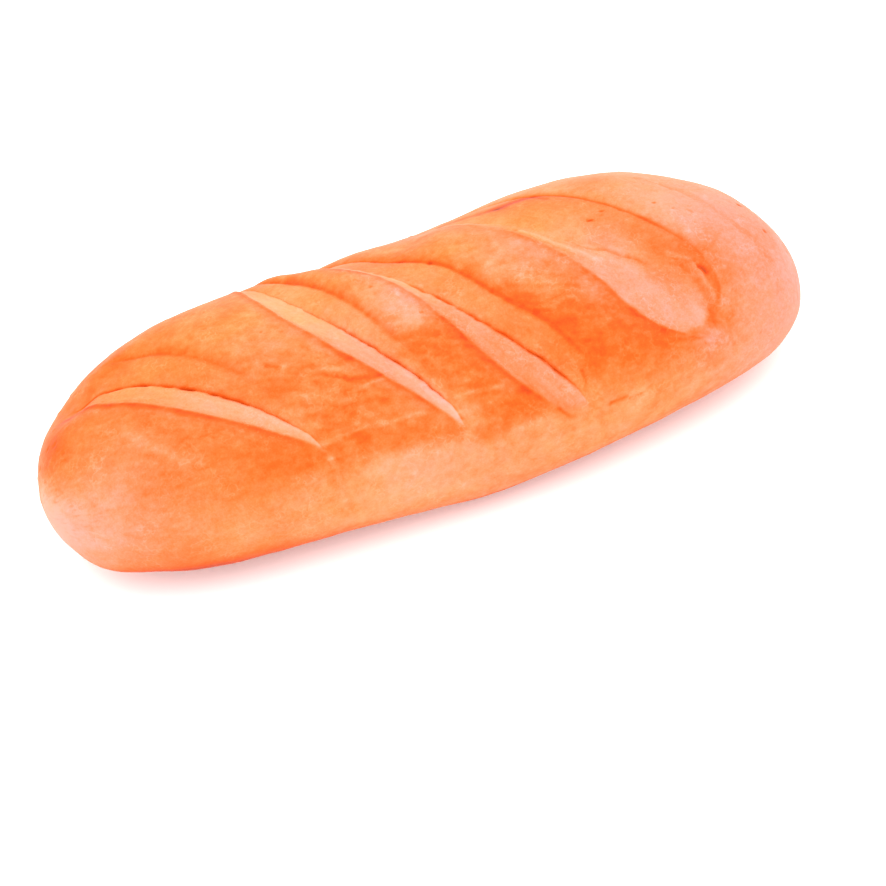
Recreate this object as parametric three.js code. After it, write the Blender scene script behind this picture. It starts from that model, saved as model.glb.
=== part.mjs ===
// A long white loaf, one solid of bread: a bolster with a flat base and blunt round ends, whose crown was
// scored with four slanting cuts that opened in the oven.
//
// Millimetres. X runs along the loaf, -Y is the front, Z is up, and the origin is under the middle of the
// base. Each opened cut has three lines that cross the crown: the lip of the crust on its left, the crack at
// the bottom, and the edge of the crust on its right. A narrow strip falls from the lip to the crack, and a
// broad band climbs from the crack to the edge. The mesh has a row of points along every one of those lines.

import * as THREE from "three";
import { mergeVertices } from "three/addons/utils/BufferGeometryUtils.js";

// The bolster.
const LENGTH = 280;
const WIDTH = 106;
const HEIGHT = 67;
const BELLY_HEIGHT = 28; // the widest line, above the base
const BASE_SINK = 2; // how far the round belly is pressed flat
const LEFT_FULLNESS = 3.6; // the power of the left end's outline: 2 is an ellipse, more is blunter
const RIGHT_FULLNESS = 3.5;
const CROWN_FULLNESS = 2; // the same for the section above the widest line
const BELLY_FULLNESS = 2.7; // and below it
const BOW = 3.4; // how far both ends curve towards the front
const SKEW = 1.2; // how far the left end lies further forward than that, and the right end less

// Where the dough rose more than the even bolster, or less where the height is negative.
const LUMPS = [
  { at: new THREE.Vector3(72, 38, 54), spread: 44, height: 5.8 },
  { at: new THREE.Vector3(-92, 32, 50), spread: 34, height: 2 },
  { at: new THREE.Vector3(134, 20, 36), spread: 26, height: -3.4 },
  { at: new THREE.Vector3(134, -24, 26), spread: 26, height: 2.8 },
  { at: new THREE.Vector3(90, -46, 16), spread: 36, height: -2.6 },
  { at: new THREE.Vector3(-50, -46, 16), spread: 40, height: -2 },
  { at: new THREE.Vector3(122, 16, 47), spread: 14, height: 2.1 },
  { at: new THREE.Vector3(137, -14, 38), spread: 13, height: -1.9 },
  { at: new THREE.Vector3(116, -38, 18), spread: 20, height: 1 },
  { at: new THREE.Vector3(6, -46, 4), spread: 20, height: 2.6 },
  { at: new THREE.Vector3(8, 34, 57), spread: 13, height: -2.4 },
  { at: new THREE.Vector3(-25, 42, 50), spread: 9, height: -1.1 },
  { at: new THREE.Vector3(-44, 42, 50), spread: 11, height: 1.9 },
  { at: new THREE.Vector3(-119.5, 18, 48.5), spread: 9, height: -3.3 },
  { at: new THREE.Vector3(-128, -34, 18), spread: 12, height: 2.2 },
];

// The relief of the crown, where a cut is fully open.
const LIP_DROP = 1.2; // how far the crust rounds down to a lip
const EDGE_DROP = 2.6; // and to an edge
const LIP_ROUNDING = 7; // the power of that rounding: more keeps it closer to the line
const EDGE_ROUNDING = 4;
const STRIP_SLOPE = 0.8; // the power of the strip's fall: less is steeper at the lip
const BAND_SLOPE = 0.5; // the power of the band's climb: less is steeper at the crack
const CROWN_START = 0.3; // the share of the crown's height over which the relief fades in

// The cuts, from left to right. A cut crosses the crown from y = back to y = front, close to the straight
// line x = at - slant * y, and its crack bows to the right of that. The bow, the strip and the band swell to
// their width and close at both ends: a small early power makes one wide soon after the back end, and a small
// late power keeps it wide until close to the front. The crack is deepest where the strip is widest.
const CUTS = [
  {
    at: -89, slant: 1.06, back: 35, front: -43, depth: 6,
    bow: { width: 4.5, early: 1.5, late: 1.5 },
    strip: { width: 17, early: 1, late: 1 },
    band: { width: 22, early: 0.2, late: 1.3 },
  },
  {
    at: -27.5, slant: 0.66, back: 51, front: -48, depth: 6,
    bow: { width: 9, early: 0.35, late: 3.5 },
    strip: { width: 12, early: 0.7, late: 0.7 },
    band: { width: 11.5, early: 0.5, late: 1.2 },
  },
  {
    at: 2.1, slant: 0.87, back: 52, front: -52, depth: 6,
    bow: { width: 7.8, early: 0.5, late: 2.1 },
    strip: { width: 14.3, early: 3, late: 0.45 },
    band: { width: 17.3, early: 0.35, late: 0.43 },
  },
  {
    at: 56.5, slant: 0.96, back: 52, front: -47.7, depth: 5.5,
    bow: { width: 9.5, early: 3.5, late: 1.5 },
    strip: { width: 23.3, early: 2.9, late: 0.6 },
    band: { width: 34, early: 0.5, late: 1.15 },
  },
];
const CLOSING = 10; // how far from its ends a cut is fully open
const LINE_BEND = 2; // how softly its lines turn there, to run straight down the side of the loaf
const LINE_GAP = 1.6; // how close they come to each other

// The mesh: points round the section, and rows in a stretch between two lines.
const AROUND = 64;
const ROWS = { tail: 13, strip: 3, band: 5, crust: 6 };
const CROWN_CROWDING = 0.2; // how much closer the points round the section are on the crown than below
const TIP_CROWDING = 1.8; // the power that gathers the rows of a tail at its tip
const CRACK_CROWDING = 1.6; // and the rows of a band at its crack
const MERGE = 1e-3; // points closer than this are one

const HALF_LENGTH = LENGTH / 2;
const HALF_WIDTH = WIDTH / 2;

const { clamp, lerp, smoothstep } = THREE.MathUtils;
const signedPower = (value, power) => Math.sign(value) * Math.abs(value) ** power;
const softStep = (value, size) => size * Math.log1p(Math.exp(value / size));

// 0 at both ends and 1 at its highest, which lies at early / (early + late).
function spindle(share, { early, late }) {
  const peak = early / (early + late);
  return (share / peak) ** early * ((1 - share) / (1 - peak)) ** late;
}

// Where the three lines of a cut are at y, how far it is open there and how deep its crack would then be.
function linesAt(cut, y) {
  const bent = y - softStep(y - cut.back, LINE_BEND) + softStep(cut.front - y, LINE_BEND);
  const along = clamp((cut.back - bent) / (cut.back - cut.front), 0, 1);
  const crack = cut.at - cut.slant * bent + cut.bow.width * spindle(along, cut.bow);
  const parted = spindle(along, cut.strip);
  return {
    lip: crack - Math.max(LINE_GAP, cut.strip.width * parted),
    crack,
    edge: crack + Math.max(LINE_GAP, cut.band.width * spindle(along, cut.band)),
    open: smoothstep(Math.min(cut.back - y, y - cut.front), 0, CLOSING),
    depth: lerp(LIP_DROP, cut.depth, parted),
  };
}

// The rows of the mesh, from the left tip to the right one. A row lies at a share of the way between two
// lines, and its relief is the height over the bolster there.
const rows = [];

function addStretch(count, between, relief, spread = (share) => share) {
  for (let i = 0; i < count; i += 1) {
    const share = spread(i / count);
    rows.push({ share, between, relief: (y) => relief(share, y) });
  }
}

// How far the crust has rounded down at a share of the way towards a lip, or away from an edge.
const lipRounding = (cut, share, y) => LIP_DROP * linesAt(cut, y).open * share ** LIP_ROUNDING;
const edgeRounding = (cut, share, y) => EDGE_DROP * linesAt(cut, y).open * (1 - share) ** EDGE_ROUNDING;

function addLeftEnd(cut) {
  const between = (y) => [-HALF_LENGTH, linesAt(cut, y).lip];
  const relief = (share, y) => -lipRounding(cut, share, y);
  addStretch(ROWS.tail, between, relief, (share) => share ** TIP_CROWDING);
}

function addStrip(cut) {
  const between = (y) => [linesAt(cut, y).lip, linesAt(cut, y).crack];
  const relief = (share, y) => {
    const { open, depth } = linesAt(cut, y);
    return -open * lerp(LIP_DROP, depth, share ** STRIP_SLOPE);
  };
  addStretch(ROWS.strip, between, relief);
}

function addBand(cut) {
  const between = (y) => [linesAt(cut, y).crack, linesAt(cut, y).edge];
  const relief = (share, y) => {
    const { open, depth } = linesAt(cut, y);
    return -open * lerp(depth, EDGE_DROP, share ** BAND_SLOPE);
  };
  addStretch(ROWS.band, between, relief, (share) => share ** CRACK_CROWDING);
}

function addCrust(left, right) {
  const between = (y) => [linesAt(left, y).edge, linesAt(right, y).lip];
  const relief = (share, y) => -edgeRounding(left, share, y) - lipRounding(right, share, y);
  addStretch(ROWS.crust, between, relief);
}

function addRightEnd(cut) {
  const between = (y) => [linesAt(cut, y).edge, HALF_LENGTH];
  const relief = (share, y) => -edgeRounding(cut, share, y);
  addStretch(ROWS.tail, between, relief, (share) => 1 - (1 - share) ** TIP_CROWDING);
  rows.push({ share: 1, between, relief: () => 0 });
}

addLeftEnd(CUTS[0]);
CUTS.forEach((cut, i) => {
  addStrip(cut);
  addBand(cut);
  if (i + 1 < CUTS.length) {
    addCrust(cut, CUTS[i + 1]);
  }
});
addRightEnd(CUTS[CUTS.length - 1]);

function lumpsAt(point) {
  return LUMPS.reduce((sum, { at, spread, height }) => {
    const nearness = Math.exp(-point.distanceToSquared(at) / spread ** 2);
    return sum + height * nearness;
  }, 0);
}

// The point of the loaf's skin on a row, at an angle round the section from the top towards +Y.
function skinPoint(row, angle) {
  const onCrown = Math.cos(angle) >= 0;
  const roundness = onCrown ? CROWN_FULLNESS : BELLY_FULLNESS;
  const across = signedPower(Math.sin(angle), 2 / roundness);
  const upward = signedPower(Math.cos(angle), 2 / roundness);
  const reach = onCrown ? HEIGHT - BELLY_HEIGHT : BELLY_HEIGHT + BASE_SINK;

  const y = HALF_WIDTH * across;
  const [from, to] = row.between(y);
  const x = lerp(from, to, row.share);
  const along = x / HALF_LENGTH;
  const bluntness = x < 0 ? LEFT_FULLNESS : RIGHT_FULLNESS;
  const full = Math.sqrt(Math.max(0, 1 - Math.abs(along) ** bluntness));

  const sway = SKEW * along ** 3 - BOW * along ** 2;
  const point = new THREE.Vector3(x, y * full + sway, BELLY_HEIGHT + reach * full * upward);
  const outward = new THREE.Vector3(
    (signedPower(along, bluntness - 1) * bluntness) / LENGTH,
    (full * signedPower(across, roundness - 1)) / HALF_WIDTH,
    (full * signedPower(upward, roundness - 1)) / reach,
  ).normalize();
  const rise = lumpsAt(point) + row.relief(y) * full * smoothstep(upward, 0, CROWN_START);
  point.addScaledVector(outward, rise);
  point.z = Math.max(0, point.z);
  return point;
}

function loafGeometry() {
  const count = rows.length - 1;
  const geometry = new THREE.SphereGeometry(1, AROUND, count);
  const place = geometry.getAttribute("position");
  const grid = geometry.getAttribute("uv");
  for (let i = 0; i < place.count; i += 1) {
    const turn = 2 * Math.PI * grid.getX(i);
    const row = rows[Math.round((1 - grid.getY(i)) * count)];
    const point = skinPoint(row, turn - CROWN_CROWDING * Math.sin(turn));
    place.setXYZ(i, point.x, point.y, point.z);
  }
  geometry.deleteAttribute("normal");
  geometry.deleteAttribute("uv");
  const skin = mergeVertices(geometry, MERGE);
  skin.computeBoundingBox();
  const middle = skin.boundingBox.getCenter(new THREE.Vector3());
  skin.translate(-middle.x, -middle.y, 0);
  skin.computeVertexNormals();
  return skin;
}

const crust = new THREE.MeshStandardMaterial({ color: 0xf08a4b, roughness: 0.55, metalness: 0 });
const loaf = new THREE.Mesh(loafGeometry(), crust);
loaf.name = "loaf";

const part = new THREE.Group();
part.add(loaf);

export default part;
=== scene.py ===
# %% [markdown]
# A long white loaf
#
# The frame holds a plain solid of the loaf at its real size. This lesson builds the bread that stands in
# its place: the same bolster, with the fine relief that a solid leaves out, and a crust that is coloured by
# how much the oven browned each spot. Blender works in metres, but bread is easier to picture in
# millimetres, so the shape is worked out in millimetres and scaled once, at the end.

import functools
import math
from collections import namedtuple

import bmesh
import bpy
import numpy as np
from mathutils import Matrix, Vector, noise


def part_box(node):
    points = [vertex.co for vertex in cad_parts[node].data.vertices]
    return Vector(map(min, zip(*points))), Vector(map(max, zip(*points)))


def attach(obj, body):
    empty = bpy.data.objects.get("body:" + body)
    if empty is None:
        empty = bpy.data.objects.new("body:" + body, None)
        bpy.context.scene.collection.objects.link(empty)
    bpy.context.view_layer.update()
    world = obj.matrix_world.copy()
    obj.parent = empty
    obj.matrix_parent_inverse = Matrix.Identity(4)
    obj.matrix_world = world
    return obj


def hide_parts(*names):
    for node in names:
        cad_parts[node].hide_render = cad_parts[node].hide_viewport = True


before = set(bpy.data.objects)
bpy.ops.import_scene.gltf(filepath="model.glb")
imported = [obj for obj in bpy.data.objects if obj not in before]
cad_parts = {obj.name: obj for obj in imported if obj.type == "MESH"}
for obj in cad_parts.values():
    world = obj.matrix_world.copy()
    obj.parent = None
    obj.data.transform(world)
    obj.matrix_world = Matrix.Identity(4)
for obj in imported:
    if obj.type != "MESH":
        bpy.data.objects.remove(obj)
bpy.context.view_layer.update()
MM = 0.001

# %% [markdown]
# The camera
#
# The loaf was photographed from the front with a long lens, from well above it and a little to its left,
# with the camera leaning over, so that the right end of the loaf comes out higher. A camera can be turned
# with Euler angles, but three angles that lean into each other are hard to read. Here three arrows are
# worked out instead: where the camera's right, its top and its back point. Those arrows are the columns of
# its rotation.

# %% Camera
CAMERA_AZIMUTH = math.radians(-12)
CAMERA_ELEVATION = math.radians(46)
CAMERA_LEAN = math.radians(9.6)
CAMERA_DISTANCE = 1100 * MM
CAMERA_LENS = 127.35  # millimetres, for the usual sensor, 36 mm wide
AIM_RIGHT = 9.4 * MM  # the camera aims right of the loaf's middle and below it
AIM_DOWN = 30.3 * MM
LOAF_MIDDLE = Vector((0, 0, 34 * MM))


def add_camera():
    level = math.cos(CAMERA_ELEVATION)
    back = Vector((
        math.sin(CAMERA_AZIMUTH) * level,
        -math.cos(CAMERA_AZIMUTH) * level,
        math.sin(CAMERA_ELEVATION),
    ))
    lean = Matrix.Rotation(-CAMERA_LEAN, 3, back)
    right = lean @ Vector((math.cos(CAMERA_AZIMUTH), math.sin(CAMERA_AZIMUTH), 0))
    top = back.cross(right)
    place = LOAF_MIDDLE + CAMERA_DISTANCE * back
    aim = LOAF_MIDDLE + AIM_RIGHT * right - AIM_DOWN * top

    back = (place - aim).normalized()
    right = top.cross(back).normalized()
    top = back.cross(right)
    camera = bpy.data.objects.new("camera", bpy.data.cameras.new("camera"))
    camera.data.lens = CAMERA_LENS
    camera.matrix_world = Matrix.Translation(place) @ Matrix((right, top, back)).transposed().to_4x4()
    bpy.context.scene.collection.objects.link(camera)
    bpy.context.scene.camera = camera
    return camera


camera = add_camera()
print("the camera stands at", [round(side, 3) for side in camera.location])

# %% [markdown]
# The bolster
#
# A loaf that is baked free on a tray is a bolster: long, with blunt round ends, widest low down and pressed
# flat underneath by its own weight. A sphere stretched to size would be too pointed at the ends. A
# superellipse is blunter: its outline follows a power higher than the 2 of an ellipse. So the loaf has one
# power for each end, one for its section above the widest line, which stays an ellipse, and one for the
# section below it. The sizes are those of the solid.

# %% Sizes of the bolster, in millimetres
LENGTH = 280
WIDTH = 106
HEIGHT = 67
BELLY_HEIGHT = 28  # the widest line, above the base
BASE_SINK = 2  # how far the round belly is pressed flat
LEFT_FULLNESS = 3.6  # the power of the left end's outline
RIGHT_FULLNESS = 3.5
CROWN_FULLNESS = 2  # the power of the section above the widest line
BELLY_FULLNESS = 2.7  # and below it
BOW = 3.4  # how far both ends curve towards the front
SKEW = 1.2  # how far the left end lies further forward than that, and the right end less
HALF_LENGTH = LENGTH / 2
HALF_WIDTH = WIDTH / 2

# Where the dough rose more than the even bolster, or less: place, spread and height.
LUMPS = [
    ((72, 38, 54), 44, 5.8),
    ((-92, 32, 50), 34, 2),
    ((134, 20, 36), 26, -3.4),
    ((134, -24, 26), 26, 2.8),
    ((90, -46, 16), 36, -2.6),
    ((-50, -46, 16), 40, -2),
    ((122, 16, 47), 14, 2.1),
    ((137, -14, 38), 13, -1.9),
    ((116, -38, 18), 20, 1),
    ((6, -46, 4), 20, 2.6),
    ((8, 34, 57), 13, -2.4),
    ((-25, 42, 50), 9, -1.1),
    ((-44, 42, 50), 11, 1.9),
    ((-119.5, 18, 48.5), 9, -3.3),
    ((-128, -34, 18), 12, 2.2),
]


def signed_power(value, power):
    return np.sign(value) * np.abs(value) ** power


def smoothstep(value, low, high):
    share = np.clip((value - low) / (high - low), 0, 1)
    return share * share * (3 - 2 * share)


def bell(distance, width):
    return np.exp(-((distance / width) ** 2))


def mixed(low, high, share):
    return low + (high - low) * share


print("the bolster is", LENGTH, "by", WIDTH, "by", HEIGHT, "mm before its lumps")

# %% [markdown]
# The cuts
#
# The baker scored the crown with four slanting cuts, and the oven opened them. Each has three lines that
# cross the crown: the lip of the crust on its left, the crack at the bottom, and the edge of the crust on
# its right. A pale strip of torn dough falls from the lip to the crack, and a browned band climbs from the
# crack to the edge. The cuts could be sculpted by hand, but as formulas they stay easy to move, and the mesh
# can follow them. Dough never tears along a clean curve, so every line also wobbles by a little noise.

# %% Sizes of the cuts, in millimetres
# A swell is a width that comes and goes along a cut. A small power makes it wide soon after the back, or
# keeps it wide until late towards the front.
Swell = namedtuple("Swell", "width early late")
# A crack goes left by its slant for each millimetre back, and bows to the right between its ends.
Cut = namedtuple("Cut", "at slant back front depth bow strip band")

CUTS = [
    Cut(-89, 1.06, 35, -43, 6, Swell(4.5, 1.5, 1.5), Swell(17, 1, 1), Swell(22, 0.2, 1.3)),
    Cut(-27.5, 0.66, 51, -48, 6, Swell(9, 0.35, 3.5), Swell(12, 0.7, 0.7), Swell(11.5, 0.5, 1.2)),
    Cut(2.1, 0.87, 52, -52, 6, Swell(7.8, 0.5, 2.1), Swell(14.3, 3, 0.45), Swell(17.3, 0.35, 0.43)),
    Cut(56.5, 0.96, 52, -47.7, 5.5, Swell(9.5, 3.5, 1.5), Swell(23.3, 2.9, 0.6), Swell(34, 0.5, 1.15)),
]
CLOSING = 10  # how far from its ends a cut is fully open
LINE_BEND = 2  # how softly its lines turn there, to run straight down the side
LINE_GAP = 1.6  # how close they come to each other
LIP_WOBBLE = ((9, 0.5), (3, 0.2), (1.5, 0.15))  # waves of each line: length and height
CRACK_WOBBLE = ((8, 0.5), (2.6, 0.55))
EDGE_WOBBLE = ((14, 0.8), (4, 0.2))
EDGE_DENTS = (0, 0, 2.4, 0)  # how far each edge is dented to the left, in front of the ridge
DENT_PLACE = -10
DENT_SPREAD = 12
print("the baker made", len(CUTS), "cuts")

# %% Lines of the cuts
# Beside the three lines: how open the cut is, and how wide its strip is as a share of its widest.
Lines = namedtuple("Lines", "lip crack edge open parted")
WOBBLE_STEP = 0.25
WOBBLE_REACH = HALF_WIDTH + 1  # the wobble is worked out to just past the sides
LANE_GAP = 7.3  # how far apart in the noise two lines take their wobble


@functools.lru_cache(maxsize=None)
def wobble_track(lane, length):
    ways = np.arange(-WOBBLE_REACH, WOBBLE_REACH, WOBBLE_STEP)
    return ways, [noise.noise((way / length, LANE_GAP * lane, length)) for way in ways]


def wobble(y, lane, waves):
    total = np.zeros_like(y)
    for length, height in waves:
        ways, track = wobble_track(lane, length)
        total += height * np.interp(y, ways, track)
    return total


def spindle(share, swell):
    """0 at both ends of a cut, and 1 where the swell is widest."""
    peak = swell.early / (swell.early + swell.late)
    return (share / peak) ** swell.early * ((1 - share) / (1 - peak)) ** swell.late


def soft_step(value):
    """Nearly 0 below zero and nearly the value itself above it, with a soft turn between."""
    return LINE_BEND * np.logaddexp(0, value / LINE_BEND)


def lines_at(number, y):
    cut = CUTS[number]
    bent = y - soft_step(y - cut.back) + soft_step(cut.front - y)
    along = np.clip((cut.back - bent) / (cut.back - cut.front), 0, 1)
    crack = cut.at - cut.slant * bent + cut.bow.width * spindle(along, cut.bow)
    parted = spindle(along, cut.strip)
    lip = crack - np.maximum(LINE_GAP, cut.strip.width * parted)
    edge = crack + np.maximum(LINE_GAP, cut.band.width * spindle(along, cut.band))
    opening = smoothstep(np.minimum(cut.back - y, y - cut.front), 0, CLOSING)
    dent = EDGE_DENTS[number] * bell(y - DENT_PLACE, DENT_SPREAD)
    return Lines(
        lip + opening * wobble(y, 3 * number, LIP_WOBBLE),
        crack + opening * wobble(y, 3 * number + 1, CRACK_WOBBLE),
        edge + opening * (wobble(y, 3 * number + 2, EDGE_WOBBLE) - dent),
        opening,
        parted,
    )


for number in range(len(CUTS)):
    lines = lines_at(number, np.zeros(1))
    print("cut", number + 1, "is", round(float(lines.edge[0] - lines.lip[0]), 1), "mm wide at the ridge")

# %% [markdown]
# A sphere whose rings follow the lines
#
# The skin could be a grid of points, but Blender already has a closed skin with rings and poles: the UV
# sphere. Its poles become the tips of the loaf, and each of its rings becomes a line across the crown. The
# rings are shared out over the stretches between the lines, closest together where a lip, a crack or an edge
# turns sharply.

# %% Stretches and rings
# A stretch lies between two cuts, or within one. The powers early and late gather its rings at its ends.
Stretch = namedtuple("Stretch", "kind left right rings early late")
AROUND = 240  # points in each ring
LAST_CUT = len(CUTS) - 1


def all_stretches():
    yield Stretch("left end", None, 0, 56, 1.8, 1.3)
    for number in range(len(CUTS)):
        yield Stretch("strip", number, number, 18, 1.3, 1.5)
        yield Stretch("band", number, number, 24, 1.6, 1.3)
        if number < LAST_CUT:
            yield Stretch("crust", number, number + 1, 42, 1.3, 1.3)
    yield Stretch("right end", LAST_CUT, None, 56, 1.3, 1.8)


STRETCHES = list(all_stretches())
RING_COUNT = sum(stretch.rings for stretch in STRETCHES)

loaf_mesh = bmesh.new()
bmesh.ops.create_uvsphere(loaf_mesh, u_segments=AROUND, v_segments=RING_COUNT, radius=1)
ball = np.array([vert.co for vert in loaf_mesh.verts])
ring = np.rint(np.arccos(np.clip(ball[:, 2], -1, 1)) / np.pi * RING_COUNT)
turn = np.arctan2(ball[:, 1], ball[:, 0])
print("the sphere has", RING_COUNT, "rings of", AROUND, "points")

# %% [markdown]
# From the sphere to the skin
#
# Every point of the sphere knows its ring and its angle round the loaf. The angle gives how far across the
# crown it lies, and the ring says between which two lines it belongs. The relief is how far the skin lies
# below the even bolster there: the strip and the band dip to the crack, which is deepest where the strip is
# widest, and the crust rounds down to a lip and to an edge.

# %% Points across the bolster
CROWN_CROWDING = 0.5  # how much closer the points are on the crown than below

angle = turn - CROWN_CROWDING * np.sin(turn)
on_crown = np.cos(angle) >= 0
roundness = np.where(on_crown, CROWN_FULLNESS, BELLY_FULLNESS)
across = signed_power(np.sin(angle), 2 / roundness)
upward = signed_power(np.cos(angle), 2 / roundness)
reach = np.where(on_crown, HEIGHT - BELLY_HEIGHT, BELLY_HEIGHT + BASE_SINK)
y = HALF_WIDTH * across
print("the points lie up to", round(float(y.max()), 1), "mm from the ridge")

# %% Points along the bolster, and their relief
LIP_DROP = 1.2  # how far the crust rounds down to a lip
EDGE_DROP = 2.6  # and to an edge
LIP_ROUNDING = 7  # the power of the rounding: more keeps it closer to the line
EDGE_ROUNDING = 4
STRIP_SLOPE = 0.8  # the power of the strip's fall: less is steeper at the lip
BAND_SLOPES = (0.5, 0.5, 0.5, 0.8)  # the power of each band's climb: less is steeper at the crack


def gathered(share, early, late):
    return share**early / (share**early + (1 - share) ** late)


def stretch_ends(stretch, y):
    if stretch.kind == "strip":
        lines = lines_at(stretch.left, y)
        return lines.lip, lines.crack
    if stretch.kind == "band":
        lines = lines_at(stretch.left, y)
        return lines.crack, lines.edge
    start = -HALF_LENGTH if stretch.left is None else lines_at(stretch.left, y).edge
    end = HALF_LENGTH if stretch.right is None else lines_at(stretch.right, y).lip
    return start, end


def stretch_relief(stretch, share, y):
    if stretch.kind in ("strip", "band"):
        lines = lines_at(stretch.left, y)
        crack_depth = mixed(LIP_DROP, CUTS[stretch.left].depth, lines.parted)
        if stretch.kind == "strip":
            return -lines.open * mixed(LIP_DROP, crack_depth, share**STRIP_SLOPE)
        return -lines.open * mixed(crack_depth, EDGE_DROP, share ** BAND_SLOPES[stretch.left])
    relief = np.zeros_like(y)
    if stretch.left is not None:
        relief -= EDGE_DROP * lines_at(stretch.left, y).open * (1 - share) ** EDGE_ROUNDING
    if stretch.right is not None:
        relief -= LIP_DROP * lines_at(stretch.right, y).open * share**LIP_ROUNDING
    return relief


x = np.full_like(y, HALF_LENGTH)
relief = np.zeros_like(y)
first_ring = 0
for stretch in STRETCHES:
    here = (ring >= first_ring) & (ring < first_ring + stretch.rings)
    share = gathered((ring[here] - first_ring) / stretch.rings, stretch.early, stretch.late)
    start, end = stretch_ends(stretch, y[here])
    x[here] = mixed(start, end, share)
    relief[here] = stretch_relief(stretch, share, y[here])
    first_ring += stretch.rings
print("the relief goes down to", round(float(relief.min()), 1), "mm")

# %% [markdown]
# The outward direction of the skin comes from the same powers as its shape, so the relief and the lumps can
# be added straight out from the bolster. What then lies below the base is pressed flat at the end.

# %% Skin of the loaf
CROWN_START = 0.3  # the share of the crown's height over which the relief fades in

reaching = x / HALF_LENGTH
bluntness = np.where(x < 0, LEFT_FULLNESS, RIGHT_FULLNESS)
full = np.sqrt(np.maximum(0, 1 - np.abs(reaching) ** bluntness))
sway = SKEW * reaching**3 - BOW * reaching**2
skin = np.stack([x, y * full + sway, BELLY_HEIGHT + reach * full * upward], axis=1)
outward = np.stack([
    signed_power(reaching, bluntness - 1) * bluntness / LENGTH,
    full * signed_power(across, roundness - 1) / HALF_WIDTH,
    full * signed_power(upward, roundness - 1) / reach,
], axis=1)
outward /= np.linalg.norm(outward, axis=1, keepdims=True)

crown = smoothstep(upward, 0, CROWN_START)
rise = relief * full * crown
for place, spread, height in LUMPS:
    rise += height * bell(np.linalg.norm(skin - place, axis=1), spread)
skin += outward * rise[:, None]
print("the skin spans", np.round(np.ptp(skin, axis=0), 1), "mm")

# %% [markdown]
# Fine relief
#
# A solid for simulation stops at the main forms. The eye wants more: the crack is a narrow ragged groove,
# the lip has a thin rim, the edge a shallow notch, and the crust is a little lumpy, wrinkled and blistered.
# It could be a bump in the material, but it is real relief in the mesh, because that shows in the outline
# and survives outside Blender. Only grain of about a millimetre is left to the material.

# %% Distances from the lines of the cuts
SHARP_CLOSING = 2  # how far from its front end the colours of a cut have faded in
BACK_CLOSING = 25  # and how far from its back end
STRIP_FRONTS = (-43, -48, -51.6, -45.4)  # where each strip ends at the front, beside its lip
END_ROUNDINGS = (4.6, 4.6, 0, 4.6)  # how much sooner it ends beside its crack
END_POWER = 4  # the power of the curve between the two

lip_distance = []
crack_distance = []
edge_distance = []
openings = []
colour_openings = []
strip_shares = []
for number, cut in enumerate(CUTS):
    lines = lines_at(number, y)
    leaning = math.hypot(1, cut.slant)
    lip_distance.append((x - lines.lip) / leaning)
    crack_distance.append((x - lines.crack) / leaning)
    edge_distance.append((x - lines.edge) / leaning)
    openings.append(lines.open * crown)
    strip_share = np.clip((x - lines.lip) / (lines.crack - lines.lip), 0, 1)
    strip_shares.append(strip_share)
    past_front = y - STRIP_FRONTS[number] - END_ROUNDINGS[number] * strip_share**END_POWER
    from_back = smoothstep(cut.back - y, 0, BACK_CLOSING)
    colour_openings.append(smoothstep(past_front, 0, SHARP_CLOSING) * from_back * crown)
print("the cuts are open at", int((np.max(openings, axis=0) > 0.5).sum()), "points")

# %% Grooves, rims and unevenness
# A groove starts, is full and weakens at places across the crown, back to front; its bake is painted shade.
Groove = namedtuple("Groove", "depth width bake starts full weakens")
GROOVES = [
    Groove(0.5, 0.5, 0.75, 42, 22, -12),
    Groove(0.4, 0.42, 0.66, 8, -10, -34),
    Groove(0.5, 0.55, 0.7, 10, -2, -44),
    Groove(0, 0.5, 0, 50, 30, 20),
]
WEAK_GROOVE = 0.45  # the share of it that is left at the front
WEAKENING = 14  # how long it takes to weaken
GROOVE_STRENGTH = 0.8  # before its breaks
CRACK_BREAKS = ((4, 0.6), (1.7, 0.6))  # waves of its strength: length and height
CRACK_LANE = 20  # the noise of the first crack's breaks
RIM_HEIGHT = 0.3  # of the crust along a lip
RIM_WIDTH = 1.2
NOTCH_DEPTH = 0.5  # of the crust along an edge
NOTCH_WIDTH = 1.2
NOTCH_FADES = (-28, -8)  # where across the crown it has ended, and where it is full
UNEVENNESS = ((34, 0.6), (12, 0.3), (4.5, 0.1))  # size and height of the bumps
NOISE_STEPS = (17.3, 5.1, 9.7)  # how far apart the noises of two seeds are taken


def noise_at(points, seed):
    """Smooth noise from -1 to 1, another one for each seed."""
    shift = Vector([seed * step for step in NOISE_STEPS])
    return np.array([noise.noise(Vector(point) + shift) for point in points])


fine = np.zeros_like(y)
cracked = []
for number, groove in enumerate(GROOVES):
    shows = openings[number] * smoothstep(-y, -groove.starts, -groove.full)
    shows *= mixed(1, WEAK_GROOVE, smoothstep(groove.weakens - y, 0, WEAKENING))
    shows *= GROOVE_STRENGTH + wobble(y, CRACK_LANE + number, CRACK_BREAKS)
    cracked.append(shows * bell(crack_distance[number], groove.width))
    fine -= groove.depth * cracked[number]
    fine += RIM_HEIGHT * openings[number] * bell(lip_distance[number], RIM_WIDTH)
    notched = openings[number] * smoothstep(y, *NOTCH_FADES)
    fine -= NOTCH_DEPTH * notched * bell(edge_distance[number], NOTCH_WIDTH)
for seed, (size, height) in enumerate(UNEVENNESS):
    fine += height * noise_at(skin / size, seed)
print("the fine relief runs from", round(float(fine.min()), 2), "to", round(float(fine.max()), 2), "mm")
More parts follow.
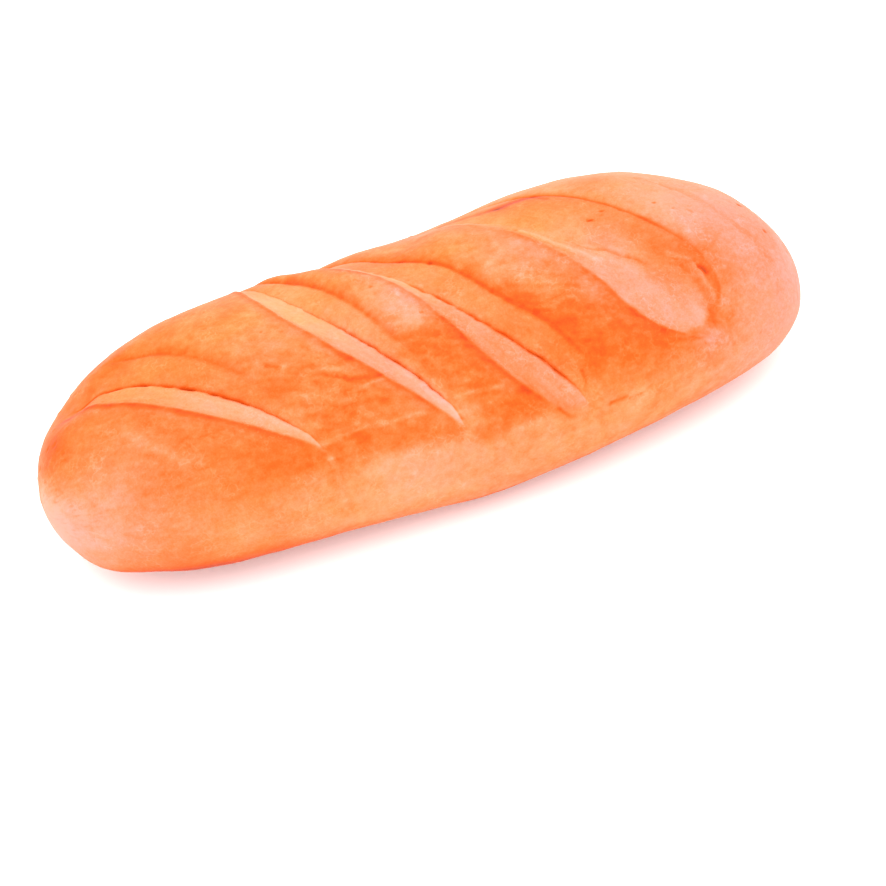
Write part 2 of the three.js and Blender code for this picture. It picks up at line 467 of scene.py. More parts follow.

# %% [markdown]
# The crust shrank a little as it cooled, so it wrinkled, mostly on the front of the crown. Most wrinkles are
# noise as well: wherever smooth noise passes through zero there is a thin curved line, which becomes a ridge
# made pale by a painted highlight, or a furrow made browner by painted shade. The noise is stretched along
# the loaf and turned a little, because the wrinkles run that way.

# %% Wrinkles
WRINKLE_SIZE = np.array((10, 2.6, 2.6))
WRINKLE_TURN = math.radians(24)  # from along the loaf towards the front
WRINKLE_LINE = 0.2  # how far from zero the noise still makes a line
WRINKLE_PATCH = 22  # wrinkles come in patches of this size
PATCH_LEVELS = (-0.2, 0.3)  # the patches' noise where there are none, and where they are full
# The extra browning is a painted highlight on a ridge and painted shade in a furrow.
WRINKLES = ((11, 0.22, -0.18), (16, -0.15, 0.2))  # seed, height and extra browning
FRONT_STARTS = 5  # where across the crown its wrinkled front begins, and where it is full
FRONT_FULL = -18

front_crown = smoothstep(-y, -FRONT_STARTS, -FRONT_FULL) * crown
turned = skin @ np.array(Matrix.Rotation(-WRINKLE_TURN, 3, "Z"))
wrinkle_highlight_and_shade = np.zeros_like(y)
for seed, height, extra in WRINKLES:
    wrinkle = np.maximum(0, 1 - np.abs(noise_at(turned / WRINKLE_SIZE, seed)) / WRINKLE_LINE) ** 2
    patch = smoothstep(noise_at(skin / WRINKLE_PATCH, seed + 1), *PATCH_LEVELS)
    wrinkled = wrinkle * patch * front_crown
    fine += height * wrinkled
    wrinkle_highlight_and_shade += extra * wrinkled
print("wrinkles cover", round(100 * float((wrinkle_highlight_and_shade != 0).mean())), "per cent of the points")

# %% [markdown]
# The wrinkles that stand out have a place of their own. Each is a path of a few points in plan, laid on the
# skin: a crease has a depth and is browner, partly by browning and partly by painted shade, and a ridge has
# a height and is paler by a painted highlight. A little noise shakes the paths, so that no stretch of them
# is straight.

# %% Creases and ridges
# The extra browning is browning with painted shade in a crease, and a painted highlight on a ridge.
CREASES = [  # points in plan, depth (less than zero is a ridge), width and extra browning
    (((94, 25), (107, 14), (115, 2), (121, -9), (127, -20)), 0.4, 1.2, 0.22),
    (((-10, -13), (-3, -18), (6, -21), (14, -24)), 0.5, 1.8, 0.2),
    (((84, -3.6), (89.5, -11), (95, -17)), 0.2, 4, 0.22),
    (((94, -18), (96.3, -23.3), (97.9, -29), (97.6, -34), (97.3, -38.8)), 0.3, 1, 0.2),
    (((91, -12.5), (96.3, -16.5), (98.4, -19.5), (98.8, -23.5), (100.6, -30.5)), -0.35, 0.8, -0.4),
    (((78, -39.8), (81, -41), (86, -41.9), (92, -41.6)), 0.2, 0.8, 0.2),
    (((24, 36.8), (31, 33.8), (38.3, 32.5), (43.2, 31.6)), 0.15, 1.5, 0.65),
    (((43.2, 31.6), (49.7, 32.4), (57, 31.6)), 0.2, 1.8, 0.85),
    (((57, 31.6), (61, 26.5)), 0.2, 1, 0.5),
    (((-36, -21.5), (-30.6, -24.8), (-25, -26), (-19, -26.5)), 0.4, 0.8, 0.5),
    (((-40, -17), (-33, -19), (-27, -18)), 0.25, 0.8, 0.3),
    (((-54.5, -9.8), (-50.5, -12.5)), 0.3, 0.7, 0.6),
    (((-38, -18.6), (-30.4, -22.2)), -0.3, 0.7, -0.4),
    (((-30, -29.8), (-24.7, -28.8), (-19, -28.4)), -0.35, 0.7, -0.45),
    (((-106, -12), (-100, -22), (-91, -32)), -0.4, 2, -0.25),
    (((-121, 0), (-115, -4), (-108, -6), (-102, -8)), -0.25, 0.8, -0.16),
    (((-46, -41), (-32, -40.5), (-21, -40.8), (-9, -41.4)), -0.3, 0.7, -0.4),
    (((-38, -32), (-29, -34), (-18, -35)), 0.25, 0.8, 0.25),
    (((3, -40), (10, -40.5), (19, -41)), -0.3, 0.8, -0.35),
    (((36, -19), (40, -22), (44, -23), (52, -22.5)), -0.25, 0.8, -0.3),
    (((58.9, 0.9), (64.5, -3.6), (69.2, -5.9), (76.6, -10.4), (82, -14.5)), 0.3, 0.6, 0.35),
    (((82, -19), (85.6, -24), (88.8, -29)), 0.2, 3, 0.28),
    (((46.1, 11.3), (52.6, 3.8), (57.6, -2.6), (63.2, -7.3), (67.1, -11.2)), -0.3, 0.9, -0.4),
    (((53.4, -50.7), (58, -50.3), (61.6, -50.4), (64, -49.9), (66.8, -49.4)), 0.35, 0.6, 0.8),
    (((35.8, -50), (37.8, -51), (39.6, -51.5)), 0.3, 0.7, 0.4),
    (((47.5, -42.1), (46.5, -45.3), (45.5, -47.3)), 0.25, 0.5, 0.5),
]
CREASE_SHAKE = 0.8  # how far a path is shaken aside
SHAKE_SIZE = 5
SHAKE_SEEDS = (14, 15, 18)


def path_distance(points, path):
    """How far each point is from a path of straight steps."""
    nearest = np.full(len(points), np.inf)
    for first, last in zip(path[:-1], path[1:]):
        step = np.subtract(last, first)
        share = np.clip((points - first) @ step / (step @ step), 0, 1)
        nearest = np.minimum(nearest, np.linalg.norm(points - first - share[:, None] * step, axis=1))
    return nearest


def on_skin(path):
    """The points of the upper skin that are nearest to a path in plan."""
    top = skin[upward > 0]
    return [top[np.argmin(np.linalg.norm(top[:, :2] - spot, axis=1))] for spot in path]


crease_browning_shade_and_highlight = np.zeros_like(y)
shakes = np.stack([noise_at(skin / SHAKE_SIZE, seed) for seed in SHAKE_SEEDS], axis=1)
shaken = skin + CREASE_SHAKE * shakes
for path, depth, width, extra in CREASES:
    near = bell(path_distance(shaken, on_skin(path)), width) * crown
    fine -= depth * near
    # Painted shade in the creases, painted highlight on the ridges.
    crease_browning_shade_and_highlight += extra * near
print("made", len(CREASES), "creases and ridges")

# %% [markdown]
# Gas bubbles under the skin leave pits and blisters. A few stand out and have their own place, and one on
# the right end has burst. The rest are strewn by a random draw with a fixed seed, so that the loaf is the
# same each time the lesson runs. The pits and the burst hole are darkened by painted shade, and the blisters
# are lightened by a painted highlight.

# %% Pits and blisters
# The extra browning is painted shade in a pit, and below zero a painted highlight on a blister.
PITS = [  # place, radius, depth and extra browning; below zero it is a blister, or paler
    ((70.1, 6.7, 64.3), 0.9, 0.4, 1.2),
    ((75.1, 9.9, 64.3), 0.8, 0.3, 0.7),
    ((12.9, 13.5, 63.2), 1.0, 0.4, 0.5),
    ((124.5, 6.8, 49), 0.8, 0.3, 1.1),
    ((130.5, -5.9, 46.2), 0.8, 0.3, 1.0),
    ((94.4, 8.5, 62.7), 0.7, 0.2, 0.9),
    ((99.8, 4.4, 61.5), 0.7, 0.2, 0.5),
    ((18.2, -4.1, 63.2), 0.7, 0.2, 0.5),
    ((-10.2, 8.2, 66.3), 0.7, 0.2, 0.5),
    ((1.7, -10.5, 66.1), 0.7, 0.2, 0.6),
    ((-51.1, 4.4, 66.3), 0.7, 0.2, 0.5),
    ((-18.9, -51.8, 34.9), 1.1, -0.3, -0.5),
    ((-44.6, -44.8, 47.7), 1.1, -0.3, -0.5),
    ((68, -48, 40.2), 1.1, 0.2, 0.28),
    ((72.2, -46.1, 42.9), 1.2, 0.2, 0.25),
    ((65.8, -50, 35.6), 1.7, -0.3, -0.3),
    ((68.9, -50, 33.1), 1.7, -0.2, -0.25),
]
HOLE = ((99.2, -20.4), (100.5, -21), (101, -22.8))  # a burst blister, in plan
HOLE_RADIUS = 0.95
HOLE_DEPTH = 0.6
HOLE_SHADE = 0.9
# Their extra browning is painted shade in the pits, and on the blisters a painted highlight.
STREWN_PITS = (90, 0.8, 0.25, 0.3)  # how many, and their radius, depth and extra browning
STREWN_BLISTERS = (160, 1.0, -0.22, -0.25)
STREWN_SIZES = (0.6, 1.3)  # the smallest and the largest share of that size
STREWN_BROWNINGS = (0.3, 1)  # and of that browning
STREWN_FROM = 0.1  # the share of the crown's height above which they lie
DRAW_SEED = 5

draw = np.random.default_rng(DRAW_SEED)
crown_points = np.flatnonzero(upward > STREWN_FROM)


def strewn(count, radius, depth, extra):
    for index in draw.choice(crown_points, count):
        size = draw.uniform(*STREWN_SIZES)
        yield skin[index], radius * size, depth * size, extra * draw.uniform(*STREWN_BROWNINGS)


pit_shade_and_blister_highlight = np.zeros_like(y)
all_pits = [*PITS, *strewn(*STREWN_PITS), *strewn(*STREWN_BLISTERS)]
for place, radius, depth, extra in all_pits:
    centre = skin[np.argmin(np.linalg.norm(skin - place, axis=1))]
    near = bell(np.linalg.norm(skin - centre, axis=1) ** 2, radius**2)
    fine -= depth * near
    # Painted shade in the pits, painted highlight on the blisters.
    pit_shade_and_blister_highlight += extra * near
in_hole = bell(path_distance(skin, on_skin(HOLE)), HOLE_RADIUS) * crown
fine -= HOLE_DEPTH * in_hole
# Painted shade inside the burst hole.
pit_shade_and_blister_highlight += HOLE_SHADE * in_hole
print("the crust has", len(all_pits), "pits and blisters")

# %% [markdown]
# Browning
#
# How brown a spot is depends on how much heat reached it. The crown browned most, above all towards the
# front of each piece of crust; the paler back of each piece is partly painted reflection. Low on the sides
# the loaf stayed pale, and so did the torn strips, which opened late. The underside lay on the hot tray and
# is brown, and just above it the low sides are darkened by browning and painted contact shadow. This could
# be
# painted on an image, but worked out for each point it fits the cuts and needs no image. One number holds
# it:
# 0 is pale dough, 1 is deep orange crust, and more than that is the red of a crack, which is painted shade.
# The same number also carries painted shade and painted highlight on creases, ridges, pits and edges. The
# mesh stores it as an attribute, which the material reads.

# %% Browning of the crust, with painted reflection and painted contact shadow
# Browning of each piece of crust; its paler back is partly painted reflection, and so is the pale right end.
CRUST_BROWNING_AND_REFLECTION = [  # each piece of crust from left to right: at the back, at the front, and where that changes
    (0.66, 0.7, 5, -30),
    (0.58, 0.83, 2, -30),
    (0.5, 0.95, -9, -20),
    (0.46, 0.98, -4, -26),
    (0.27, 0.3, 5, -30),
]
SIDE_BAKES = (  # places along the loaf, and the browning low on the sides there
    (-132, 0.28), (-112, 0.4), (-85, 0.38), (-68, 0.33), (-58, 0.22), (-44, 0.2),
    (-28, 0.1), (-5, 0.08), (8, 0.18), (35, 0.26), (65, 0.3), (85, 0.32), (100, 0.28), (125, 0.15),
)
BROWNING_HEIGHTS = (  # how high up the sides the crown's browning begins
    (-120, 42), (-62, 42), (-45, 42.5), (-28, 43.5), (-10, 42.8), (0, 41.4),
    (12, 39.8), (30, 41.5), (60, 40.5), (100, 40),
)
BROWNING_BLURS = (  # how softly it begins there
    (-110, 12), (-70, 9), (-50, 6), (-30, 3.5), (10, 3.5), (30, 5), (50, 10), (100, 14),
)
BROWNING_WAVE = 3  # how far that height wanders up and down
BROWNING_WAVE_SIZE = 13
BROWNING_SEED = 21
CRUST_WAVE = 4  # how far the change from back to front wanders
CRUST_WAVE_SIZE = 11
CRUST_SEED = 22
PIECE_BLUR = 9  # how softly pieces of crust run into each other where a cut is closed
OPEN_BLUR = 0.4  # and where it is open
# Extra darkening low on the sides, just above the tray: browning and painted contact shadow.
BASE_BROWNING_AND_SHADOW = (  # places along the loaf, and the extra browning just above the tray
    (-138, 0.1), (-118, 0.8), (-105, 1.1), (-91, 1.1), (-77, 0.8),
    (-51, 0.55), (-26, 0.4), (10, 0.2), (125, 0.2),
)
BASE_HEIGHTS = (14, 24)  # how high up it is full, and where it ends
UNDERSIDE_BAKE = 1.5  # where it lay on the tray
UNDERSIDE_HEIGHTS = (4, 13)  # how high up the underside's browning is full, and where it ends


def along_loaf(table):
    places, values = zip(*table)
    return np.interp(skin[:, 0], places, values)


height_wave = BROWNING_WAVE * noise_at(skin / BROWNING_WAVE_SIZE, BROWNING_SEED)
over_limit = skin[:, 2] - along_loaf(BROWNING_HEIGHTS) + height_wave
browned = smoothstep(over_limit / along_loaf(BROWNING_BLURS), -1, 1)

crust_wave = CRUST_WAVE * noise_at(skin / CRUST_WAVE_SIZE, CRUST_SEED)
# Each piece's browning, with painted reflection making its back paler.
pieces_browning_and_reflection = []
for at_back, at_front, begins, ends in CRUST_BROWNING_AND_REFLECTION:
    forward = smoothstep((begins - y + crust_wave) / (begins - ends), 0, 1)
    pieces_browning_and_reflection.append(mixed(at_back, at_front, forward))
crown_browning_and_reflection = pieces_browning_and_reflection[0]
for number, piece_browning_and_reflection in enumerate(pieces_browning_and_reflection[1:]):
    run = mixed(PIECE_BLUR, OPEN_BLUR, openings[number])
    crown_browning_and_reflection = mixed(crown_browning_and_reflection, piece_browning_and_reflection, smoothstep(edge_distance[number] / run, -1, 1))
bake = mixed(along_loaf(SIDE_BAKES), crown_browning_and_reflection, browned)
# Browning and painted contact shadow just above the tray.
bake += along_loaf(BASE_BROWNING_AND_SHADOW) * (1 - smoothstep(skin[:, 2], *BASE_HEIGHTS))
bake = mixed(UNDERSIDE_BAKE, bake, smoothstep(skin[:, 2], *UNDERSIDE_HEIGHTS))
print("the crust's browning runs from", round(float(bake.min()), 2), "to", round(float(bake.max()), 2))

# %% [markdown]
# The strips and the bands have a browning of their own, which changes from the back to the front of a strip,
# and from the crack to the edge of a band. The crack is a thin deep line of painted shade. The edge of the
# crust is a softer one, partly browning, because the crust there was pushed up and caught more heat, and
# partly painted shade below its step. The rim along a lip caught more heat as well.

# %% Browning of the strips and the bands
STRIP_BAKES = ((0.3, 0.04), (-0.04, 0.08), (0.08, 0.4), (0.35, 0.24))  # at the back and at the front
BAND_BAKES = ((0.56, 0.62), (0.27, 0.43), (0.5, 0.56), (0.36, 0.68))  # at the crack and at the edge
STRIP_TURNS = (12, -22)  # where a strip changes from its back to its front
STRIP_GLOW = -0.3  # how much paler a strip is beside its crack than at its lip
STRIP_STREAK = np.array((1.2, 9))  # width and length of the streaks in it
STRIP_STREAKS = 0.14  # how much they brown it
STREAK_SEED = 24
LEAST_BAND = 0.1  # the width that a band is taken to have where it is closed

strip_front = smoothstep(-y, -STRIP_TURNS[0], -STRIP_TURNS[1])


def strip_browning(number):
    streak_place = np.stack([crack_distance[number], y], axis=1) / STRIP_STREAK
    streaks = noise_at(np.pad(streak_place, ((0, 0), (0, 1))), STREAK_SEED + number)
    even = mixed(*STRIP_BAKES[number], strip_front)
    return even + STRIP_GLOW * (strip_shares[number] - 0.5) + STRIP_STREAKS * streaks


def band_browning(number):
    band_width = crack_distance[number] - edge_distance[number]
    band_share = crack_distance[number] / np.maximum(band_width, LEAST_BAND)
    return mixed(*BAND_BAKES[number], np.clip(band_share, 0, 1))


print("the streaks of a strip are", STRIP_STREAK[1], "mm long")

# %% Browning and painted shade of the edges, browning of the rims
# The line's core and skirt are brownings with painted shade, before and after are the skirt's widths to its
# left and right, and it is full and fades out at places across the crown.
EdgeLine = namedtuple("EdgeLine", "core skirt before after full fades")
EDGE_BROWNING_AND_SHADE = [
    EdgeLine(0.25, 0.2, 2, 3, 8, -22),
    EdgeLine(0.4, 0.3, 1.2, 2.6, 2, -18),
    EdgeLine(0.45, 0.35, 1.2, 4, -28, -46),
    EdgeLine(0.5, 0.15, 0.8, 2, 0, -16),
]
EDGE_CORE = 0.7  # the width of the line's core
EDGE_STRENGTH = 0.9  # before its breaks
EDGE_BREAKS = ((8, 0.5), (3, 0.4))  # waves of its strength: length and height
EDGE_LANE = 30
RIM_BAKES = (0.4, 0.22, 0.22, 0.22)  # of the crust along each lip
RIM_STARTS = (35, 51, 52, 16)  # where each rim begins at the back
RIM_LINE = 0.3  # the browning of the thin line on it
RIM_LINE_WIDTH = 0.6
RIM_LINE_STRENGTH = 0.7  # before its breaks
RIM_LANE = 40


def edge_browning_and_shade(number):
    line = EDGE_BROWNING_AND_SHADE[number]
    shows = openings[number] * smoothstep(y, line.fades, line.full)
    shows *= EDGE_STRENGTH + wobble(y, EDGE_LANE + number, EDGE_BREAKS)
    width = np.where(edge_distance[number] < 0, line.before, line.after)
    core = line.core * shows * bell(edge_distance[number], EDGE_CORE)
    return core + line.skirt * shows * bell(edge_distance[number], width)


def rim_browning(number):
    shows = openings[number] * smoothstep(RIM_STARTS[number] - y, 0, CLOSING)
    rim = RIM_BAKES[number] * shows * bell(lip_distance[number] + RIM_WIDTH, RIM_WIDTH)
    thin_line = bell(lip_distance[number] + RIM_LINE_WIDTH, RIM_LINE_WIDTH)
    breaks = RIM_LINE_STRENGTH + wobble(y, RIM_LANE + number, CRACK_BREAKS)
    return rim + RIM_LINE * shows * thin_line * breaks


print("the edges and the rims of", len(EDGE_BROWNING_AND_SHADE), "cuts are browned")

# %% Brown the cuts
SOFT_LIP = 0.8  # how softly the crust runs into a strip
SOFT_CRACKS = (0.25, 0.25, 0.25, 4)  # how softly a strip runs into its band, where it is wide
SOFT_CRACK_SHARE = 0.3  # of the strip's width, where it is narrow
SOFT_EDGES = ((1, 4), (1, 4), (1, 4), (1, 8))  # how softly a band ends, at the ridge and at the front
SOFT_EDGE_PLACES = (4, -26)  # where across the crown that changes
BAND_TORN = 0.6  # how much a band counts as torn dough, as a share of a strip
MOST_BAKE = 1.3  # the most that all this gives, before the grooves

past_ridge = smoothstep(-y, -SOFT_EDGE_PLACES[0], -SOFT_EDGE_PLACES[1])
past_lips = []
in_strips = []
torn = np.zeros_like(y)
for number, opening in enumerate(colour_openings):
    strip_width = lip_distance[number] - crack_distance[number]
    crack_blur = np.minimum(SOFT_CRACKS[number], SOFT_CRACK_SHARE * strip_width)
    past_lip = smoothstep(lip_distance[number], -SOFT_LIP, SOFT_LIP)
    past_crack = smoothstep(crack_distance[number] / crack_blur, -1, 1)
    past_edge = smoothstep(edge_distance[number] / mixed(*SOFT_EDGES[number], past_ridge), -1, 1)
    in_strip = past_lip * (1 - past_crack) * opening
    in_band = past_crack * (1 - past_edge) * opening
    past_lips.append(past_lip)
    in_strips.append(in_strip)
    torn = np.maximum(torn, np.maximum(in_strip, BAND_TORN * in_band))
    bake = mixed(bake, strip_browning(number), in_strip)
    bake = mixed(bake, band_browning(number), in_band)
    # The edge's browning carries painted shade below its step.
    bake += edge_browning_and_shade(number) + rim_browning(number)
    # The groove's bake darkens the crack with painted shade.
    bake = np.minimum(bake, MOST_BAKE) + GROOVES[number].bake * cracked[number]
print("with the cuts it runs from", round(float(bake.min()), 2), "to", round(float(bake.max()), 2))

# %% [markdown]
# An oven has hotter and cooler places, so parts of the crust are browner or paler than the rules above make
# them. Some patches are painted light instead: the pale lower left end and right tip are painted reflection,
# the darker back of the left end is painted rim shade, and the darker low left side is painted contact
# shadow. They could be painted on the mesh by hand. A list of round patches with soft rims does the same,
# and each of them can be moved or left out by itself.

# %% Spots that browned more or less
PATCHES = [  # place, spread and extra browning
    # Paler lower left end: painted reflection of the white floor.
    ((-140, -14, 31), 11, -0.8),
    ((-134, -25, 32), 9, -0.2),
    ((-124, -36, 36), 13, -0.33),
    ((-120, -17, 51), 12, -0.14),
    ((-116, -28, 48), 10, -0.2),
    ((-132, 2, 45), 10, 0.45),
    ((-92, -42, 46), 12, -0.12),
    ((-52, -27, 58), 7, -0.12),
    ((-80, -50, 32), 10, -0.18),
    # Darker low on the left side: painted contact shadow.
    ((-70, -51, 21), 9, 0.16),
    ((-96, -47, 22), 9, 0.12),
    ((-116, -40, 26), 9, 0.13),
    ((19, -53, 35), 6, 0.06),
    ((-42, 21, 60), 5, 0.06),
    ((-135, -8, 42), 6, 0.08),
    ((-10, -53, 29), 7, -0.09),
    ((-54, 4, 66), 12, -0.16),
    ((-65, -2, 63), 5, 0.1),
    ((-59, -17, 61), 5, 0.08),
    ((-70, 16, 63), 7, -0.08),
    ((-93, 17, 58), 6, -0.1),
    ((-40, -26, 61), 5, -0.24),
    ((-31, -30, 60), 5, -0.1),
    ((-72, -38, 52), 14, 0.13),
    ((-57, -40, 52), 6, 0.3),
    ((-104, -22, 56), 7, -0.14),
    ((-32, -46, 47), 8, -0.16),
    ((10, -48, 45), 5, -0.25),
    # Darker back of the left end: painted rim shade.
    ((-122, 16, 52), 12, 0.2),
    ((-102, 30, 57), 9, 0.25),
    ((-46, 29, 56), 8, 0.06),
    ((-27, 13, 62), 6, 0.08),
    ((-12, 27, 58), 6, 0.2),
    ((-10, -18, 61), 6, 0.36),
    ((-3, -2, 66), 9, -0.28),
    ((-3.5, -25, 58.5), 4, 0.15),
    ((-13, -16, 62), 4, -0.14),
    ((-6, -45.5, 48.5), 4, -0.14),
    ((31, -35, 52), 3.5, 0.12),
    ((-13, -10, 63), 4, 0.08),
    ((-22, -5, 62), 4, -0.08),
    ((54, -35, 56), 5, -0.08),
    ((118, -14, 53), 6, -0.07),
    ((-113, -16, 55), 6, 0.08),
    ((-9, 0, 67), 4, 0.08),
    ((-13, 8, 65), 8, -0.06),
    ((-1, 26, 59), 6, 0.15),
    ((-3, -13, 66), 6, -0.28),
    ((-3, -36, 54), 5, -0.15),
    ((6, -45, 49), 6, -0.45),
    ((-14, -40, 53), 6, -0.2),
    ((13, 15, 63), 7, -0.2),
    ((11, 28, 61), 6, 0.28),
    ((20, 21, 64), 5, 0.1),
    ((29, 15, 66), 5, -0.1),
    ((24, 2, 65), 4, 0.2),
    ((19, -41, 53), 6, -0.15),
    ((30, -22, 59), 8, 0.16),
    ((43, -10, 66), 5, 0.08),
    ((60, -20, 63), 6, -0.22),
    ((62, 6, 64), 7, -0.14),
    ((72, 11, 65), 5, -0.08),
    ((79, 29, 61), 7, 0.3),
    ((68, -1, 63), 6, -0.1),
    ((42, 21, 60), 6, -0.14),
    ((42, -36, 53), 6, 0.2),
    ((50, -43, 49), 4, 0.35),
    ((66, -42, 49), 9, -0.08),
    ((71, -46, 44), 4, -0.12),
    ((92, -45, 34), 6, -0.08),
    ((57, 31, 59), 6, 0.2),
    ((65, -50, 35), 4, -0.2),
    ((14, -22, 61), 4, -0.1),
    ((27, -45, 49), 5, 0.2),
    ((35, -52, 37), 6, 0.13),
    ((2, -52, 37), 7, 0.08),
    ((12, -53, 33), 7, 0.08),
    ((-18, -49, 43), 6, 0.06),
    ((35, -27, 57), 4, 0.09),
    ((4, -47, 46), 4, -0.33),
    ((47, -49, 43), 4, -0.12),
    ((57.5, -28, 61), 3.5, 0.1),
    ((47.7, -23.4, 62), 2.5, 0.2),
    ((37, 1, 66), 10, -0.12),
    ((-50, 18, 62), 14, -0.16),
    ((-96, -6, 61), 10, 0.12),
    # Paler right tip: painted reflection.
    ((138, -16, 40), 14, -0.12),
    ((77, -5, 63), 5, -0.14),
    ((68, -28, 59), 4, -0.2),
    ((95, -15, 58), 8, 0.22),
    ((105, -23, 53), 6, 0.12),
    ((112, -28, 50), 10, 0.06),
    ((103, -33.4, 49), 3, -0.22),
    ((97.2, -38.3, 46), 2.2, 0.3),
    ((95, -42, 43), 4.5, -0.52),
    ((83, -18, 58), 5, 0.12),
    ((92, -21, 56), 4, 0.07),
    ((98, 7, 62), 8, -0.14),
    ((116, 7, 55), 8, -0.1),
    ((107, -13, 57), 7, 0.15),
    ((114, -24, 51), 8, 0.12),
    ((130, -12, 46), 11, 0.18),
    ((46, 30, 60), 6, 0.42),
    # Darker low on the left, near the floor: painted contact shadow.
    ((-100, -48, 10), 26, 0.2),
    ((100, 20, 58), 20, -0.08),
]
for place, spread, extra in PATCHES:
    bake += extra * bell(np.linalg.norm(skin - place, axis=1), spread)
# Browning, painted shade and painted highlight of the creases, ridges, pits, blisters and the hole.
bake += crease_browning_shade_and_highlight + pit_shade_and_blister_highlight
print("browned", len(PATCHES), "patches")

# %% [markdown]
# A real crust is never evenly browned, so noise in several sizes is added: broad clouds, blotches that are
# strongest on the front of the crown, streaks along the wrinkles there and longer ones along the pale sides.
# The ends of the loaf are smoother.

# %% Mottling
# Size of the blotches in millimetres, and strength on the front of the crown, elsewhere and in a strip.
MOTTLES = [
    (np.array((22, 22, 22)), 0.14, 0.1, 0.05),
    (np.array((7, 7, 7)), 0.25, 0.13, 0.06),
    (np.array((2.4, 2.4, 2.4)), 0.21, 0.2, 0.06),
    (np.array((8, 2, 2)), 0.24, 0.0, 0.0),
    (np.array((12, 4, 4)), 0.0, 0.16, 0.0),
]
MOTTLE_SEED = 31
MOTTLE_BEND = 0.4  # how far the blotches are bent, as a share of their size
MOTTLE_BEND_SIZE = 10
MOTTLE_BEND_SEED = 41
SMOOTH_ENDS = (0.6, 0.33)  # how much of it is left on the left end and on the right end
SMOOTH_REACH = 8  # how far from a cut an end has become smooth

left_end = smoothstep(-lip_distance[0], 0, SMOOTH_REACH)
right_end = smoothstep(edge_distance[LAST_CUT], 0, SMOOTH_REACH)
for seed, (size, on_front, elsewhere, on_torn) in enumerate(MOTTLES):
    strength = mixed(mixed(elsewhere, on_front, front_crown * browned), on_torn, torn)
    strength *= mixed(1, SMOOTH_ENDS[0], left_end)
    strength *= mixed(1, SMOOTH_ENDS[1], right_end)
    bend = MOTTLE_BEND * noise_at(skin / MOTTLE_BEND_SIZE, MOTTLE_BEND_SEED + seed)
    bake += strength * noise_at(turned / size + bend[:, None], MOTTLE_SEED + seed)
# Painted highlight on the wrinkles' ridges and painted shade in their furrows.
bake += wrinkle_highlight_and_shade * (1 - torn)
print("the browning now runs from", round(float(bake.min()), 2), "to", round(float(bake.max()), 2))

# %% [markdown]
# The colour also varies between golden and pinkish, partly as the crust's tint and partly as painted light.
# The back of the crown, where the crust is smooth, is golden by painted warm light from behind, and so are
# the strips at their back. The right end and the lower left end are pinkish by painted reflection of the
# white surround, and the crust along the lips is pinkish too. One colour ramp can't hold both, so this is a
# second attribute.

# %% How golden the crust is, with painted warm light and painted reflection
GOLDEN = 0.72  # on most of the crust, from 0 for pinkish to 1 for golden
GOLDEN_MOTTLE = 0.14
GOLDEN_MOTTLE_SIZE = 4
GOLDEN_SEED = 51
# Golden places at the back of the crown are painted warm light; pinkish places at the ends are painted
# reflection.
TINT_AND_PAINTED_LIGHT_PLACES = [  # place, spread and how much more golden, or less
    ((-85, 28, 58), 34, 0.3),
    ((-85, -50, 24), 24, 0.2),
    ((-122, 0, 52), 22, 0.12),
    ((-38, 30, 58), 26, 0.32),
    ((20, 24, 61), 26, 0.28),
    ((42, 32, 59), 12, 0.4),
    ((48, 18, 62), 16, 0.24),
    ((-12, -50, 34), 15, -0.16),
    ((-15, -50, 18), 20, 0.2),
    ((45, -50, 18), 26, 0.2),
    ((75, -50, 24), 16, 0.2),
    ((-50, 18, 62), 18, 0.1),
    ((-54, -4, 66), 14, -0.2),
    ((66, -20, 62), 11, -0.3),
    ((72, -3, 63), 9, -0.36),
    ((95, -42, 43), 6, -0.4),
    ((-44, -52, 28), 14, 0.2),
    # Pinkish at both ends: painted reflection of the white surround.
    ((112, -6, 52), 26, -0.62),
    ((128, -25, 32), 34, -0.45),
    ((-139, -26, 30), 16, -0.3),
    ((138, -16, 40), 14, -0.15),
    ((-4, -5, 66), 12, -0.35),
    ((-104, -20, 55), 22, -0.15),
    ((-114, -36, 43), 24, -0.28),
    ((84, -38, 50), 14, -0.16),
    ((38, 0, 66), 14, -0.25),
]
STRIP_GOLDEN = ((1.0, 0.6), (0.95, 0.4), (0.85, 0.35), (0.85, 0.2))  # at the back and at the front
LIP_GOLDEN = -0.45  # how much less golden the crust is along a lip
LIP_BLUSHES = (4, 4, 4, 8)  # how far from each lip the crust is pinkish

# Golden tint of the crust, with painted warm light and painted reflection.
golden_tint_and_painted_light = np.full_like(y, GOLDEN)
for place, spread, extra in TINT_AND_PAINTED_LIGHT_PLACES:
    golden_tint_and_painted_light += extra * bell(np.linalg.norm(skin - place, axis=1), spread)
for number in range(len(CUTS)):
    golden_tint_and_painted_light = mixed(golden_tint_and_painted_light, mixed(*STRIP_GOLDEN[number], strip_front), in_strips[number])
    near_lip = bell(lip_distance[number], LIP_BLUSHES[number])
    golden_tint_and_painted_light += LIP_GOLDEN * openings[number] * (1 - past_lips[number]) * near_lip
golden_tint_and_painted_light += GOLDEN_MOTTLE * noise_at(skin / GOLDEN_MOTTLE_SIZE, GOLDEN_SEED)
golden_tint_and_painted_light = np.clip(golden_tint_and_painted_light, 0, 1)
print("golden runs from", round(float(golden_tint_and_painted_light.min()), 2), "to", round(float(golden_tint_and_painted_light.max()), 2))

# %% [markdown]
# The mesh becomes a piece
#
# The points go back into the sphere's own mesh, so its faces stay as Blender made them. The skin is pressed
# flat underneath, as by the loaf's weight, and moved until its box has the same middle in plan as the
# solid's.

